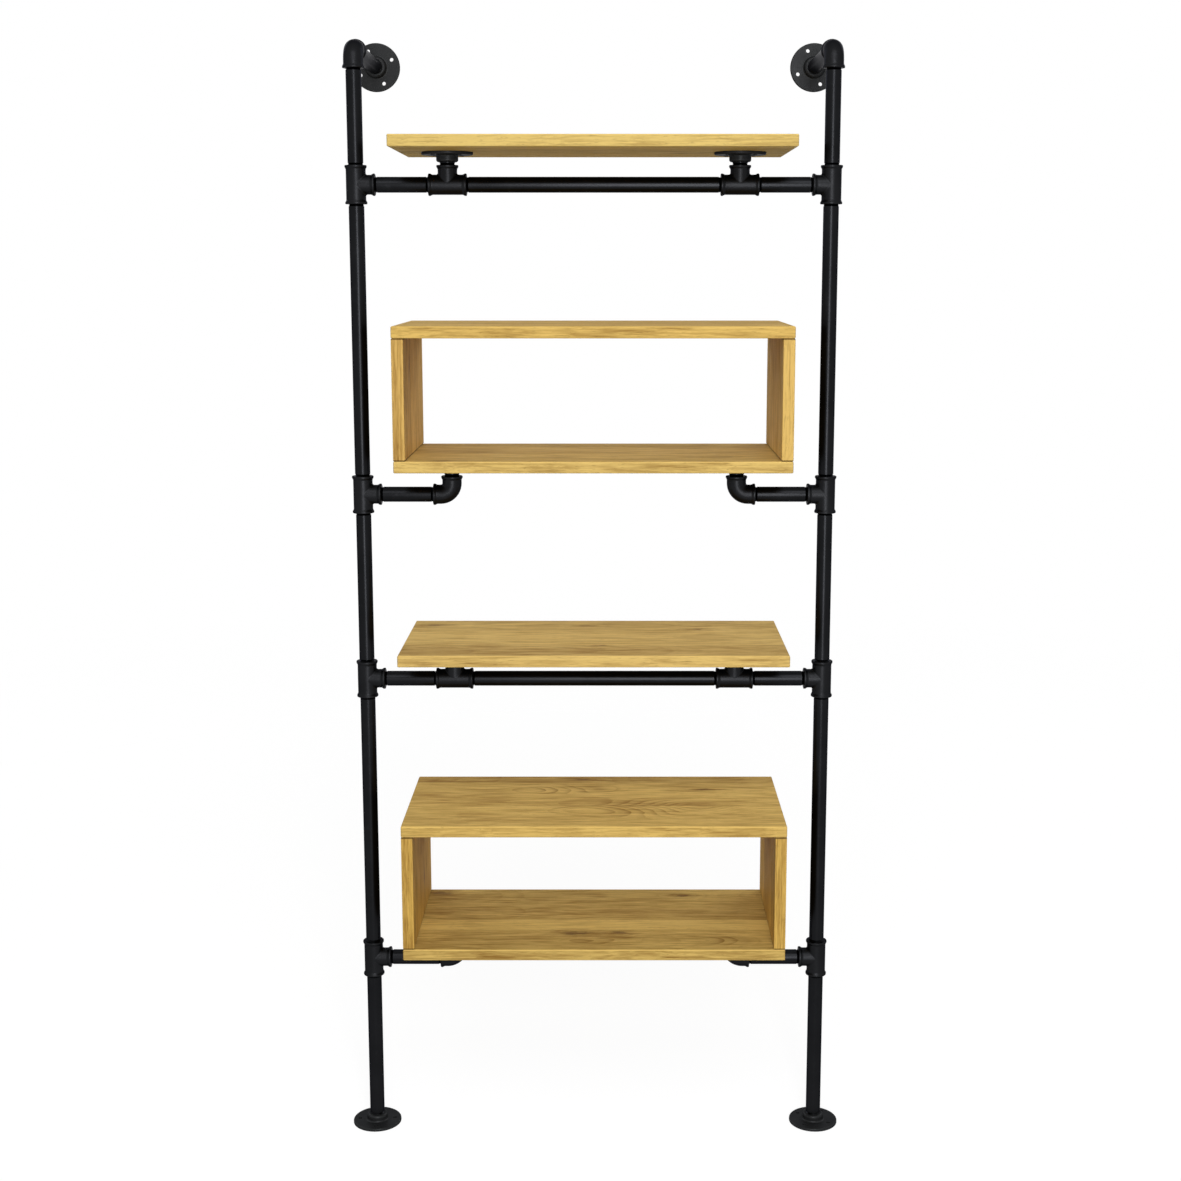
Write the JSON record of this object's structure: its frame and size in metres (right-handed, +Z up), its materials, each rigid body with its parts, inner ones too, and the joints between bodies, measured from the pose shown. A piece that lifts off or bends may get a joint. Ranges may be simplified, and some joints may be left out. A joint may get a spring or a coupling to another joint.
{
  "type": "pipe shelving unit",
  "caption": "Wall-braced shelving unit of threaded black pipe and malleable fittings on floor flanges, carrying plain wooden shelves and open wooden boxes.",
  "frame": {"origin": "on the floor, under the middle of the unit's outline in plan", "axes": "+X along the shelves, +Y from the shelves' front edges to the wall, +Z up"},
  "size_m": [0.909, 0.45, 2.0005],
  "materials": {
    "black_pipe": "satin black coating on steel pipe",
    "black_fitting": "matt black coating on malleable cast iron",
    "black_screw": "black oxide steel",
    "oak": "edge-glued solid wood with a clear matt oil",
    "dowel_wood": "plain beech"
  },
  "bodies": {
    "root": {"box_flanges": "black_fitting", "flange_screws": "black_screw", "left_floor_flange": "black_fitting", "left_foot_pipe": "black_pipe", "left_lower_box_post_tee": "black_fitting", "left_lower_pipe": "black_pipe", "left_middle_pipe": "black_pipe", "left_middle_shelf_post_tee": "black_fitting", "left_top_elbow": "black_fitting", "left_top_pipe": "black_pipe", "left_top_shelf_post_tee": "black_fitting", "left_upper_box_post_tee": "black_fitting", "left_upper_pipe": "black_pipe", "left_wall_flange": "black_fitting", "left_wall_pipe": "black_pipe", "lower_box_bottom_board": "oak", "lower_box_dowels": "dowel_wood", "lower_box_left_arm_pipe": "black_pipe", "lower_box_left_elbow": "black_fitting", "lower_box_left_side": "oak", "lower_box_right_arm_pipe": "black_pipe", "lower_box_right_elbow": "black_fitting", "lower_box_right_side": "oak", "lower_box_top_board": "oak", "middle_shelf_board": "oak", "middle_shelf_left_arm_pipe": "black_pipe", "middle_shelf_left_rail_tee": "black_fitting", "middle_shelf_rail_pipe": "black_pipe", "middle_shelf_right_arm_pipe": "black_pipe", "middle_shelf_right_rail_tee": "black_fitting", "right_floor_flange": "black_fitting", "right_foot_pipe": "black_pipe", "right_lower_box_post_tee": "black_fitting", "right_lower_pipe": "black_pipe", "right_middle_pipe": "black_pipe", "right_middle_shelf_post_tee": "black_fitting", "right_top_elbow": "black_fitting", "right_top_pipe": "black_pipe", "right_top_shelf_post_tee": "black_fitting", "right_upper_box_post_tee": "black_fitting", "right_upper_pipe": "black_pipe", "right_wall_flange": "black_fitting", "right_wall_pipe": "black_pipe", "riser_nipples": "black_pipe", "shelf_flanges": "black_fitting", "top_shelf_board": "oak", "top_shelf_left_arm_pipe": "black_pipe", "top_shelf_left_rail_tee": "black_fitting", "top_shelf_rail_pipe": "black_pipe", "top_shelf_right_arm_pipe": "black_pipe", "top_shelf_right_rail_tee": "black_fitting", "upper_box_bottom_board": "oak", "upper_box_dowels": "dowel_wood", "upper_box_left_arm_pipe": "black_pipe", "upper_box_left_elbow": "black_fitting", "upper_box_left_side": "oak", "upper_box_right_arm_pipe": "black_pipe", "upper_box_right_elbow": "black_fitting", "upper_box_right_side": "oak", "upper_box_top_board": "oak"}
  },
  "joints": []
}
